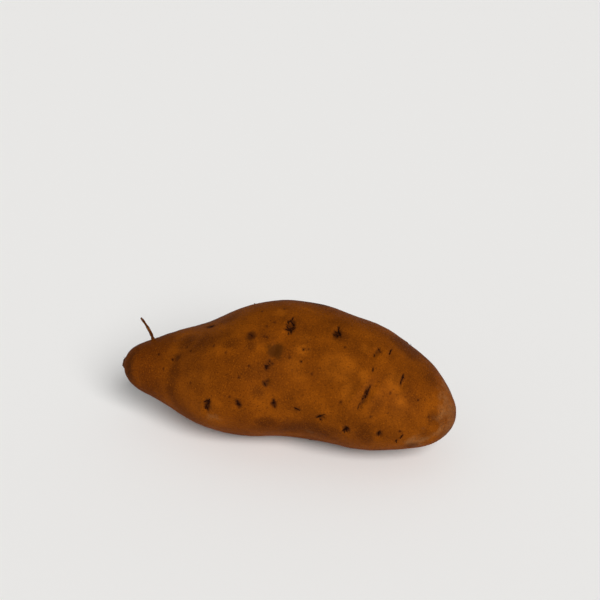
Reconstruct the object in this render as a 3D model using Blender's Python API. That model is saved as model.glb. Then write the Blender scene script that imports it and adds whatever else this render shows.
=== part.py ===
"""A sweet potato: one swollen storage root, washed and dry, lying on its side.

The root runs along X, with its narrow end at -X and its blunt stem end at +X.
Z is up. It lies on a small flat spot at z = 0, and the origin is a point of
that spot, straight below the weight. Sizes are in millimetres until a mesh is
made. An angle round the root is 0 at the back (+Y), 90 on top, 180 at the
front (-Y) and 270 underneath.
"""

import math
import random

import bpy
import numpy as np

MM = 0.001

# Driving dimensions: the ends of the root, and the belly pressed flat
NARROW_END = -94.0
BLUNT_END = 83.0
PRESSED = 0.6

# The body at ten places: x, middle of the section in y and z, half width, half height
BODY = np.array((
    (-91.0, -3.5, 30.3, 9.0, 8.5),
    (-86.0, -3.5, 30.3, 13.0, 12.0),
    (-72.0, -2.0, 30.3, 19.5, 17.5),
    (-54.0, -2.0, 29.8, 27.5, 24.5),
    (-34.0, -2.0, 32.8, 35.0, 32.0),
    (-12.0, 2.0, 35.3, 38.0, 35.0),
    (12.0, 3.5, 34.3, 37.0, 34.0),
    (36.0, -1.0, 33.3, 35.0, 32.0),
    (60.0, -4.0, 29.8, 28.0, 24.5),
    (76.0, -6.0, 26.8, 15.5, 14.0),
))

# Low ribs that make the sections not quite round: count, share, start, twist
RIBS = ((3, 0.016, 0.7, 1.3), (4, 0.010, 2.1, -1.1), (5, 0.008, 0.4, 1.9))

# Slow swells of the skin, as waves: height, wavelengths along x, y and z, start
SWELLS = (
    (0.15, 46.0, -51.0, -75.0, 2.2),
    (0.15, 46.0, 51.0, 75.0, -1.0),
    (0.15, 31.0, 120.0, -39.0, 1.9),
)

# Shallow furrows along the back: angle, from x, to x, depth, half width
FURROWS = ((35.0, -58.0, 20.0, 1.8, 6.5), (318.0, -20.0, 66.0, 1.4, 5.5))
WANDER = math.radians(7.0)
WANDER_LONG = 145.0

# Eyes and root scars on the front and top: x, angle, length round the root, turn
FRONT_EYES = (
    (-1.0, 111.0, 10.0, 5.0),
    (-6.0, 134.0, 7.0, 0.0),
    (-7.0, 160.0, 4.0, 0.0),
    (22.0, 107.0, 8.0, -8.0),
    (43.0, 113.0, 7.0, 12.0),
    (50.0, 106.0, 4.0, 0.0),
    (58.0, 131.0, 8.0, 10.0),
    (41.0, 157.0, 18.0, 20.0),
    (-38.0, 183.0, 8.0, 22.0),
    (-21.0, 180.0, 5.0, 0.0),
    (-3.0, 178.0, 6.0, 5.0),
    (21.0, 183.0, 6.0, 60.0),
    (33.0, 191.0, 6.0, -15.0),
    (49.0, 193.0, 5.0, 10.0),
)

# The other eyes follow the root's five rows; these three rows face away
HIDDEN_ROWS = (38.0, 254.0, 326.0)
EYE_SEED = 11
FIRST_EYE = (17.0, 28.0)
EYE_GAPS = (14.0, 24.0)
EYE_LENGTHS = (4.0, 8.0)
OFF_ROW = 8.0
EYE_LEAN = 15.0
CLEAR_OF_BLUNT_END = 14.0

# An eye's dent and the low brow beside it
EYE_DEPTH = 0.6
BROW_SHARE = 0.4
EYE_REACH = 8.0

# Dry side roots: x, angle, length clear of the skin, thickness, lean towards -X
SIDE_ROOTS = (
    (-79.0, 84.0, 14.0, 1.5, 0.05),
    (-31.0, 42.0, 4.0, 1.1, -0.5),
    (4.0, 340.0, 5.0, 1.0, 0.6),
    (52.0, 30.0, 3.5, 1.1, 0.4),
)

# The broken tail at the narrow end and the corky stem stub behind the blunt end.
# Each profile is height above the skin and share of half the thickness.
TAIL_THICK = 7.0
TAIL_LONG = 1.6
TAIL_PROFILE = ((-8.0, 1.2), (-3.0, 1.15), (0.0, 1.0), (0.6 * TAIL_LONG, 0.72), (TAIL_LONG, 0.5))
STEM_X = 73.0
STEM_ANGLE = -8.0
STEM_THICK = 8.0
STEM_LONG = 3.5
STEM_PROFILE = ((-4.0, 1.2), (0.3, 1.15), (0.45 * STEM_LONG, 0.82), (STEM_LONG, 0.65))
STUMP_SIDES = 10

# Fineness of the mesh
RINGS = 300
SPOKES = 216
BODY_TRIANGLES = 9800
TUBE_SIDES = 6

MIDDLE = (NARROW_END + BLUNT_END) / 2
HALF_LENGTH = (BLUNT_END - NARROW_END) / 2
SKIN_COLOUR = (0.30, 0.105, 0.028, 1.0)


def clear_scene():
    for obj in list(bpy.data.objects):
        bpy.data.objects.remove(obj, do_unlink=True)


def smooth_curve(xs, ys, x):
    """Natural cubic spline through (xs, ys), carried on straight past its ends."""
    n = len(xs)
    step = np.diff(xs)
    slope = np.diff(ys) / step
    matrix = np.eye(n)
    right = np.zeros(n)
    for i in range(1, n - 1):
        matrix[i, i - 1:i + 2] = step[i - 1], 2 * (step[i - 1] + step[i]), step[i]
        right[i] = 6 * (slope[i] - slope[i - 1])
    bend = np.linalg.solve(matrix, right)
    inside = np.clip(x, xs[0], xs[-1])
    i = np.clip(np.searchsorted(xs, inside) - 1, 0, n - 2)
    a, b, h = xs[i + 1] - inside, inside - xs[i], step[i]
    y = (bend[i] * a**3 + bend[i + 1] * b**3) / (6 * h)
    y = y + (ys[i] / h - bend[i] * h / 6) * a + (ys[i + 1] / h - bend[i + 1] * h / 6) * b
    before = slope[0] - step[0] * bend[1] / 6
    after = slope[-1] + step[-1] * bend[-2] / 6
    return y + before * np.minimum(x - xs[0], 0) + after * np.maximum(x - xs[-1], 0)


def station_turn(x):
    """The turn, 0 to pi from end to end, at which the root reaches x."""
    return np.arccos((MIDDLE - x) / HALF_LENGTH)


def skin(turn, angle):
    """Point of the smooth root: x = middle - half length * cos(turn), and round it an
    ellipse whose half sizes are the stations' fullness * sin(turn), with low ribs."""
    x = MIDDLE - HALF_LENGTH * np.cos(turn)
    turns = station_turn(BODY[:, 0])
    centre_y, centre_z = (smooth_curve(BODY[:, 0], BODY[:, k], x) for k in (1, 2))
    wide, high = (
        smooth_curve(turns, BODY[:, k] / np.sin(turns), turn) * np.sin(turn) for k in (3, 4)
    )
    along = (x - NARROW_END) / (2 * HALF_LENGTH)
    rib = 1 + sum(
        share * np.cos(count * angle + start + twist * math.pi * along)
        for count, share, start, twist in RIBS
    )
    y = centre_y + wide * rib * np.cos(angle)
    z = centre_z - PRESSED + high * rib * np.sin(angle)
    return np.stack(np.broadcast_arrays(x, y, z), axis=-1)


def unit(vectors):
    return vectors / np.linalg.norm(vectors, axis=-1, keepdims=True)


def skin_frame(turn, angle):
    """A point of the skin with its directions along the root, round it and outwards."""
    small = 1e-3
    along = unit(skin(turn + small, angle) - skin(turn - small, angle))
    around = unit(skin(turn, angle + small) - skin(turn, angle - small))
    out = unit(np.cross(around, along))
    return skin(turn, angle), along, np.cross(along, out), out


def frame_at(x, degrees):
    return skin_frame(station_turn(np.float64(x)), np.float64(math.radians(degrees)))


def hidden_eyes():
    """Eyes on the rows that face away, about evenly spaced, from one seeded draw."""
    draw = random.Random(EYE_SEED)
    for row in HIDDEN_ROWS:
        x = NARROW_END + draw.uniform(*FIRST_EYE)
        while x < BLUNT_END - CLEAR_OF_BLUNT_END:
            degrees = row + draw.uniform(-OFF_ROW, OFF_ROW)
            yield (x, degrees, draw.uniform(*EYE_LENGTHS), draw.uniform(-EYE_LEAN, EYE_LEAN))
            x += draw.uniform(*EYE_GAPS)


def eye_height(points, eye):
    """A dent across the root, a bell in two directions, under a low brow on its -X side."""
    x, degrees, length, lean = eye
    centre, along, around, out = frame_at(x, degrees)
    c, s = math.cos(math.radians(lean)), math.sin(math.radians(lean))
    offset = points - centre
    u = offset @ (along * c + around * s)
    v = offset @ (around * c - along * s)
    near = np.exp(-(offset @ out / EYE_REACH) ** 2)
    half_wide = 1.1 + 0.05 * length
    half_long = 0.5 * length
    depth = EYE_DEPTH * (1 + min(length, 10) / 10)
    dent = np.exp(-(u / half_wide) ** 2 - (v / half_long) ** 2)
    brow = np.exp(-((u + 2 * half_wide) / half_wide) ** 2 - (v / (1.2 * half_long)) ** 2)
    return near * depth * (BROW_SHARE * brow - dent)


def furrow_height(points, turn, angle, furrow):
    """A shallow channel along the root that fades at both its ends and wanders a little."""
    degrees, start, end, depth, half_wide = furrow
    x = points[..., 0]
    radius = np.hypot(points[..., 1], points[..., 2] - BODY[:, 2].mean())
    path = math.radians(degrees) + WANDER * np.sin(math.tau * x / WANDER_LONG)
    across = radius * (np.mod(angle - path + math.pi, 2 * math.pi) - math.pi)
    fade = np.exp(-(((x - (start + end) / 2) / (0.55 * (end - start))) ** 4))
    return -depth * fade * np.exp(-((across / half_wide) ** 2))


def swell_height(points):
    """Slow rises and falls of the skin: the sum of the waves, height * sin(turns + start)."""
    x, y, z = points[..., 0], points[..., 1], points[..., 2]
    return sum(
        height * np.sin(math.tau * (x / along + y / across + z / upwards) + start)
        for height, along, across, upwards, start in SWELLS
    )


def root_surface(turn, angle):
    """The skin with its eyes, furrows and swells raised or sunk along the outward side."""
    points, along, around, out = skin_frame(turn, angle)
    height = swell_height(points)
    for eye in (*FRONT_EYES, *hidden_eyes()):
        height = height + eye_height(points, eye)
    for furrow in FURROWS:
        height = height + furrow_height(points, turn, angle, furrow)
    return points + out * height[..., None]


def new_object(name, points, faces):
    mesh = bpy.data.meshes.new(name)
    mesh.from_pydata((np.asarray(points) * MM).tolist(), [], faces)
    mesh.validate()
    mesh.update()
    obj = bpy.data.objects.new(name, mesh)
    bpy.context.scene.collection.objects.link(obj)
    return obj


def tube_faces(rings, sides):
    """Quads between rings of points, with a fan to a point at each end."""
    faces = []
    for ring in range(rings - 1):
        for side in range(sides):
            a, b = ring * sides + side, ring * sides + (side + 1) % sides
            faces.append((a, a + sides, b + sides, b))
    first, last, base = rings * sides, rings * sides + 1, (rings - 1) * sides
    for side in range(sides):
        nxt = (side + 1) % sides
        faces.append((first, side, nxt))
        faces.append((last, base + nxt, base + side))
    return faces


def body_object():
    turn = (np.arange(1, RINGS) * math.pi / RINGS)[:, None]
    angle = (np.arange(SPOKES) * 2 * math.pi / SPOKES)[None, :]
    rings = root_surface(turn, angle).reshape(-1, 3)
    ends = skin(np.array([0.0, math.pi]), np.array([0.0, 0.0]))
    obj = new_object("sweet_potato", np.vstack((rings, ends)), tube_faces(RINGS - 1, SPOKES))
    thin = obj.modifiers.new("thin", "DECIMATE")
    thin.ratio = BODY_TRIANGLES / (2 * RINGS * SPOKES)
    return obj


def tube_object(name, path, radii, sides, ragged=0.0, seed=1):
    """Rings of points square to a path, one radius each, closed at both ends."""
    draw = random.Random(seed)
    path = np.asarray(path)
    heading = unit(np.gradient(path, axis=0))
    side = unit(np.cross(heading, (0.0, 1.0, 0.13)))
    other = np.cross(heading, side)
    turn = np.arange(sides) * 2 * math.pi / sides
    rings = []
    for k, radius in enumerate(radii):
        rough = np.array([1 + draw.uniform(-ragged, ragged) for _ in range(sides)])
        spread = np.cos(turn)[:, None] * side[k] + np.sin(turn)[:, None] * other[k]
        rings.append(path[k] + radius * rough[:, None] * spread)
    points = np.vstack((*rings, path[:1] - heading[:1] * 0.2, path[-1:] + heading[-1:] * 0.3))
    return new_object(name, points, tube_faces(len(radii), sides))


def side_root(number, x, degrees, length, thick, lean):
    """A dry thread that leaves its eye along the outward side and leans over as it goes."""
    start, along, around, out = frame_at(x, degrees)
    sunk = 2.5
    share = np.linspace(0, 1, 7)[:, None]
    reach = share * (length + sunk) - sunk
    bend = -lean * length * np.clip(reach / length, 0, 1) ** 1.5
    path = start + out * reach + along * bend
    radii = thick / 2 * (1.25 - 0.6 * share[:, 0])
    return tube_object(f"side_root_{number}", path, radii, TUBE_SIDES, 0.08, number)


def stump(name, start, heading, thick, profile, seed):
    """A short stump along its heading, from its profile of heights and shares of thickness."""
    reach, share = np.array(profile).T
    path = start + reach[:, None] * heading
    return tube_object(name, path, thick / 2 * share, STUMP_SIDES, 0.1, seed)


def broken_tail():
    """What is left of the root's tail at the narrow end, torn off short."""
    end = skin(np.float64(0.0), np.float64(0.0))
    return stump("broken_tail", end, np.array((-1.0, -0.02, -0.05)), TAIL_THICK, TAIL_PROFILE, 3)


def stem_stub():
    """The corky stub where the root hung from its plant: a collar and a snapped end."""
    start, along, around, out = frame_at(STEM_X, STEM_ANGLE)
    return stump("stem_stub", start, out + 0.15 * along, STEM_THICK, STEM_PROFILE, 5)


def bake_modifiers(obj):
    graph = bpy.context.evaluated_depsgraph_get()
    mesh = bpy.data.meshes.new_from_object(obj.evaluated_get(graph))
    obj.modifiers.clear()
    obj.data = mesh


def fuse(body, pieces):
    """One union of the body with everything that grew from it."""
    group = bpy.data.collections.new("grown_pieces")
    for piece in pieces:
        group.objects.link(piece)
    union = body.modifiers.new("fuse", "BOOLEAN")
    union.operation = "UNION"
    union.operand_type = "COLLECTION"
    union.collection = group
    bake_modifiers(body)
    for piece in pieces:
        bpy.data.objects.remove(piece, do_unlink=True)
    bpy.data.collections.remove(group)


def press_flat(body):
    """Cut the belly off level at z = 0, where the root rests."""
    low, high = -8.0, 0.0
    reach = 2 * HALF_LENGTH
    corners = [(sx * reach, sy * reach, z) for z in (low, high) for sy in (-1, 1) for sx in (-1, 1)]
    faces = [(0, 2, 3, 1), (4, 5, 7, 6), (0, 1, 5, 4), (2, 6, 7, 3), (0, 4, 6, 2), (1, 3, 7, 5)]
    slab = new_object("table_level", corners, faces)
    cut = body.modifiers.new("press_flat", "BOOLEAN")
    cut.operation = "DIFFERENCE"
    cut.object = slab
    bake_modifiers(body)
    bpy.data.objects.remove(slab, do_unlink=True)


def skin_material():
    """Orange-brown satin skin, a little darker than the flesh below it."""
    material = bpy.data.materials.new("skin")
    material.use_nodes = True
    shader = material.node_tree.nodes["Principled BSDF"]
    shader.inputs["Base Color"].default_value = SKIN_COLOUR
    shader.inputs["Roughness"].default_value = 0.5
    shader.inputs["Metallic"].default_value = 0.0
    return material


def build():
    clear_scene()
    body = body_object()
    bake_modifiers(body)
    grown = [side_root(k, *root) for k, root in enumerate(SIDE_ROOTS)]
    fuse(body, [*grown, broken_tail(), stem_stub()])
    press_flat(body)
    body.data.materials.clear()
    body.data.materials.append(skin_material())
    body.data.shade_smooth()


build()
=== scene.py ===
import math
import random

import bpy
import numpy as np
from mathutils import Matrix, Vector


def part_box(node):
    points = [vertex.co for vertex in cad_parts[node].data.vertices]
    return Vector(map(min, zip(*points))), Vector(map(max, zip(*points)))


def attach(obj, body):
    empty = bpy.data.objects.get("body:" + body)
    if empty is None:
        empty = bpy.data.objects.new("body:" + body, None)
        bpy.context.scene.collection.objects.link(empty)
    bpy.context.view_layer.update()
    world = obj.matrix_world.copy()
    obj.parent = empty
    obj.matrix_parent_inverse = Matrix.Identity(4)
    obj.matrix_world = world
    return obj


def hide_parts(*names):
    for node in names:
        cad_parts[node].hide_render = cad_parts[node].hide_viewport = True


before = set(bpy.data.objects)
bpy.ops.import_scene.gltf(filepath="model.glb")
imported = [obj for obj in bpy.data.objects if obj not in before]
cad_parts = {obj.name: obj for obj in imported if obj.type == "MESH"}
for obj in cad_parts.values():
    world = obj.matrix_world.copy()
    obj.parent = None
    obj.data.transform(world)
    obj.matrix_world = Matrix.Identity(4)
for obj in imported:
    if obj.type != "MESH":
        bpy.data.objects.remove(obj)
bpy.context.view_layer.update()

# The root itself. It swelled in the ground as one piece, so skin and flesh aren't told apart.
# The skin is a thin dry cork that stretched as it grew: smooth over the belly,
# drawn into wrinkles at the ends, and sunk across the root wherever a side root came out.

MM = 0.001
# How far the tail stands out, and how far the belly is pressed flat where it rests
TAIL_LONG = 1.6
PRESSED = 0.6
root_low, root_high = (np.array(corner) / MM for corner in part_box("sweet_potato"))
NARROW_END = round(root_low[0] + TAIL_LONG, 0)
BLUNT_END = round(root_high[0], 0)
MIDDLE = (NARROW_END + BLUNT_END) / 2
HALF_LENGTH = (BLUNT_END - NARROW_END) / 2

# x, middle of the section in y and z, half width, half height
BODY = np.array((
    (-91, -3.5, 30.3, 9, 8.5),
    (-86, -3.5, 30.3, 13, 12),
    (-72, -2, 30.3, 19.5, 17.5),
    (-54, -2, 29.8, 27.5, 24.5),
    (-34, -2, 32.8, 35, 32),
    (-12, 2, 35.3, 38, 35),
    (12, 3.5, 34.3, 37, 34),
    (36, -1, 33.3, 35, 32),
    (60, -4, 29.8, 28, 24.5),
    (76, -6, 26.8, 15.5, 14),
))
# count, share, start, twist
RIBS = ((3, 0.016, 0.7, 1.3), (4, 0.010, 2.1, -1.1), (5, 0.008, 0.4, 1.9))
# height, wavelengths along x, y and z, start
SWELLS = (
    (0.15, 46, -51, -75, 2.2),
    (0.15, 46, 51, 75, -1),
    (0.15, 31, 120, -39, 1.9),
)
# angle, from x, to x, depth, half width
FURROWS = ((35, -58, 20, 1.8, 6.5), (318, -20, 66, 1.4, 5.5))
FURROW_REACH = 0.55
WANDER = math.radians(7.0)
WANDER_LONG = 145.0
# x, angle, length round the root, turn
FRONT_EYES = (
    (-1, 111, 10, 5), (-6, 134, 7, 0),
    (-7, 160, 4, 0), (22, 107, 8, -8),
    (43, 113, 7, 12), (50, 106, 4, 0),
    (58, 131, 8, 10), (41, 157, 18, 20),
    (-38, 183, 8, 22), (-21, 180, 5, 0),
    (-3, 178, 6, 5), (21, 183, 6, 60),
    (33, 191, 6, -15), (49, 193, 5, 10),
)
HIDDEN_ROWS = (38, 254, 326)
EYE_SEED = 11
FIRST_EYE = (17, 28)
EYE_GAPS = (14, 24)
EYE_LENGTHS = (4, 8)
OFF_ROW = 8.0
EYE_LEAN = 15.0
CLEAR_OF_BLUNT_END = 14.0
EYE_DEPTH = 0.6
EYE_HALF_WIDTH = 1.1
EYE_WIDENING = 0.05
LONG_EYE = 10.0
BROW_SHARE = 0.4
EYE_REACH = 8.0
# x, angle, length clear of the skin, thickness, lean towards the narrow end
SIDE_ROOTS = (
    (-79, 84, 14, 1.5, 0.05),
    (-31, 42, 4, 1.1, -0.5),
    (4, 340, 5, 1, 0.6),
    (52, 30, 3.5, 1.1, 0.4),
)
STEM_X = 73.0
STEM_ANGLE = -8.0
STEM_THICK = 8.0


def smooth_curve(xs, ys, x):
    """Natural cubic spline through (xs, ys), carried on straight past its ends."""
    n = len(xs)
    step = np.diff(xs)
    slope = np.diff(ys) / step
    matrix = np.eye(n)
    right = np.zeros(n)
    for i in range(1, n - 1):
        matrix[i, i - 1:i + 2] = step[i - 1], 2 * (step[i - 1] + step[i]), step[i]
        right[i] = 6 * (slope[i] - slope[i - 1])
    bend = np.linalg.solve(matrix, right)
    inside = np.clip(x, xs[0], xs[-1])
    i = np.clip(np.searchsorted(xs, inside) - 1, 0, n - 2)
    a, b, h = xs[i + 1] - inside, inside - xs[i], step[i]
    y = (bend[i] * a**3 + bend[i + 1] * b**3) / (6 * h)
    y = y + (ys[i] / h - bend[i] * h / 6) * a + (ys[i + 1] / h - bend[i + 1] * h / 6) * b
    before = slope[0] - step[0] * bend[1] / 6
    after = slope[-1] + step[-1] * bend[-2] / 6
    return y + before * np.minimum(x - xs[0], 0) + after * np.maximum(x - xs[-1], 0)


def station_turn(x):
    """The turn, 0 to pi from end to end, at which the root reaches x."""
    return np.arccos((MIDDLE - x) / HALF_LENGTH)


def skin(turn, angle):
    """Point of the smooth root: x = middle - half length * cos(turn), and round it an
    ellipse whose half sizes are the stations' fullness * sin(turn), with low ribs."""
    x = MIDDLE - HALF_LENGTH * np.cos(turn)
    turns = station_turn(BODY[:, 0])
    centre_y, centre_z = (smooth_curve(BODY[:, 0], BODY[:, k], x) for k in (1, 2))
    wide, high = (
        smooth_curve(turns, BODY[:, k] / np.sin(turns), turn) * np.sin(turn) for k in (3, 4)
    )
    along = (x - NARROW_END) / (2 * HALF_LENGTH)
    rib = 1 + sum(
        share * np.cos(count * angle + start + twist * math.pi * along)
        for count, share, start, twist in RIBS
    )
    y = centre_y + wide * rib * np.cos(angle)
    z = centre_z - PRESSED + high * rib * np.sin(angle)
    return np.stack(np.broadcast_arrays(x, y, z), axis=-1)


def unit(vectors):
    """The same directions, each 1 long."""
    return vectors / np.linalg.norm(vectors, axis=-1, keepdims=True)


def skin_frame(turn, angle):
    """A point of the skin with its directions along the root, round it and outwards."""
    small = 1e-3
    along = unit(skin(turn + small, angle) - skin(turn - small, angle))
    around = unit(skin(turn, angle + small) - skin(turn, angle - small))
    out = unit(np.cross(around, along))
    return skin(turn, angle), along, np.cross(along, out), out


def frame_at(x, degrees):
    """The same for one point, at its x and its angle in degrees."""
    return skin_frame(station_turn(np.float64(x)), np.float64(math.radians(degrees)))


def hidden_eyes():
    """Eyes on the rows that face away, about evenly spaced, from one seeded draw."""
    draw = random.Random(EYE_SEED)
    for row in HIDDEN_ROWS:
        x = NARROW_END + draw.uniform(*FIRST_EYE)
        while x < BLUNT_END - CLEAR_OF_BLUNT_END:
            degrees = row + draw.uniform(-OFF_ROW, OFF_ROW)
            yield (x, degrees, draw.uniform(*EYE_LENGTHS), draw.uniform(-EYE_LEAN, EYE_LEAN))
            x += draw.uniform(*EYE_GAPS)


def from_spot(points, x, degrees, turn):
    """How far each point lies from a spot of the skin, along the root, round it and outwards."""
    centre, along, around, out = frame_at(x, degrees)
    c, s = math.cos(math.radians(turn)), math.sin(math.radians(turn))
    offset = points - centre
    return offset @ (along * c + around * s), offset @ (around * c - along * s), offset @ out


def eye_height(points, eye):
    """A dent across the root, a bell in two directions, under a low brow on its -X side."""
    x, degrees, length, turn = eye
    u, v, off = from_spot(points, x, degrees, turn)
    near = np.exp(-(off / EYE_REACH) ** 2)
    half_wide = EYE_HALF_WIDTH + EYE_WIDENING * length
    half_long = 0.5 * length
    depth = EYE_DEPTH * (1 + min(length, LONG_EYE) / LONG_EYE)
    dent = np.exp(-(u / half_wide) ** 2 - (v / half_long) ** 2)
    brow = np.exp(-((u + 2 * half_wide) / half_wide) ** 2 - (v / (1.2 * half_long)) ** 2)
    return near * depth * (BROW_SHARE * brow - dent)


def furrow_height(points, angle, furrow):
    """A shallow channel along the root that fades at both its ends and wanders a little."""
    degrees, start, end, depth, half_wide = furrow
    x = points[..., 0]
    radius = np.hypot(points[..., 1], points[..., 2] - BODY[:, 2].mean())
    path = math.radians(degrees) + WANDER * np.sin(math.tau * x / WANDER_LONG)
    across = radius * (np.mod(angle - path + math.pi, 2 * math.pi) - math.pi)
    fade = np.exp(-(((x - (start + end) / 2) / (FURROW_REACH * (end - start))) ** 4))
    return -depth * fade * np.exp(-((across / half_wide) ** 2))


def swell_height(points):
    """Slow rises and falls of the skin: the sum of the waves, height * sin(turns + start)."""
    x, y, z = points[..., 0], points[..., 1], points[..., 2]
    return sum(
        height * np.sin(math.tau * (x / along + y / across + z / upwards) + start)
        for height, along, across, upwards, start in SWELLS
    )


LATTICE = 48
LATTICE_SHIFT = 0.37


def rough(points, cells, seed):
    """Soft seeded noise from -1 to 1: random values at the corners of a lattice whose cells
    have this size, or these three, in mm, mixed inside each cell by 3t^2 - 2t^3 along each axis."""
    lattice = np.random.default_rng(seed).uniform(-1, 1, (LATTICE, LATTICE, LATTICE))
    place = points / np.asarray(cells, float) + LATTICE_SHIFT * seed
    base = np.floor(place).astype(int)
    t = place - base
    t = t * t * (3 - 2 * t)
    total = 0
    for corner in np.ndindex(2, 2, 2):
        weight = np.prod(np.where(corner, t, 1 - t), axis=-1)
        i, j, k = np.moveaxis((base + corner) % LATTICE, -1, 0)
        total = total + weight * lattice[i, j, k]
    return total


def fade_in(value, start, end):
    """0 before start, 1 after end, and 3t^2 - 2t^3 in between."""
    t = np.clip((value - start) / (end - start), 0, 1)
    return t * t * (3 - 2 * t)


# How far from each tip the root is fully drawn in, and how far it still draws in
NARROW_DRAWN = (6.0, 50.0)
BLUNT_DRAWN = (0.0, 16.0)
BLUNT_SHARE = 0.8


def end_share(points):
    """1 where the root draws in at its narrow end, a little less at its blunt end, and 0 over
    the belly."""
    x = points[..., 0]
    narrow = 1 - fade_in(x - NARROW_END, *NARROW_DRAWN)
    blunt = 1 - fade_in(BLUNT_END - x, *BLUNT_DRAWN)
    return narrow + BLUNT_SHARE * blunt


# Creases: cells along x, y and z, seed, sharpness, depth
END_CREASES = ((18.0, 3.0, 3.0), 5, 4, 0.16)
BELLY_CREASES = ((2.4, 12.0, 12.0), 6, 6, 0.08)
# Where the belly is creased: cell, seed, and the noise at which creases start and are whole
CREASED = (22.0, 7, -0.2, 0.5)


def crease_height(points, cells, seed, sharp, depth):
    """Thin valleys where a stretched noise crosses nought: -depth * (1 - |noise|)^sharp."""
    return -depth * (1 - np.abs(rough(points, cells, seed))) ** sharp


def wrinkle_height(points):
    """Creases round the belly in places, and along the root where it draws in at its ends."""
    cell, seed, start, whole = CREASED
    patches = fade_in(rough(points, cell, seed), start, whole)
    at_ends = end_share(points) * crease_height(points, *END_CREASES)
    return at_ends + patches * crease_height(points, *BELLY_CREASES)


# Uneven growth at three sizes: height, cells along x, y and z, seed
LUMPS = ((0.22, (15.0, 12.0, 12.0), 1), (0.09, (6.0, 5.5, 5.5), 2), (0.03, 2.4, 3))


def lump_height(points):
    """The sum of the lumps, height * noise."""
    return sum(height * rough(points, cells, seed) for height, cells, seed in LUMPS)


# A collar's height, and its ring's radius as a share of the thickness of what comes through it
SIDE_ROOT_COLLAR = 0.25
STEM_COLLAR = 0.5
COLLAR_RADIUS = 0.6
COLLAR_CELL = 1.8
COLLAR_SEED = 9


def collar_height(points, x, degrees, thick, rise):
    """The skin's raised ring round whatever breaks out of it: a bell across the ring's line,
    uneven from place to place."""
    u, v, off = from_spot(points, x, degrees, 0.0)
    across = (np.hypot(u, v) - COLLAR_RADIUS * thick) / (0.25 * thick + 0.3)
    uneven = 1 + 0.5 * rough(points, COLLAR_CELL, COLLAR_SEED)
    return rise * np.exp(-across**2 - (off / EYE_REACH) ** 2) * uneven


def skin_height(points, angle):
    """How far the real skin stands out from the smooth root, without its scars."""
    height = swell_height(points) + lump_height(points) + wrinkle_height(points)
    for eye in (*FRONT_EYES, *hidden_eyes()):
        height = height + eye_height(points, eye)
    for furrow in FURROWS:
        height = height + furrow_height(points, angle, furrow)
    for x, degrees, _, thick, _ in SIDE_ROOTS:
        height = height + collar_height(points, x, degrees, thick, SIDE_ROOT_COLLAR)
    return height + collar_height(points, STEM_X, STEM_ANGLE, STEM_THICK, STEM_COLLAR)


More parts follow.
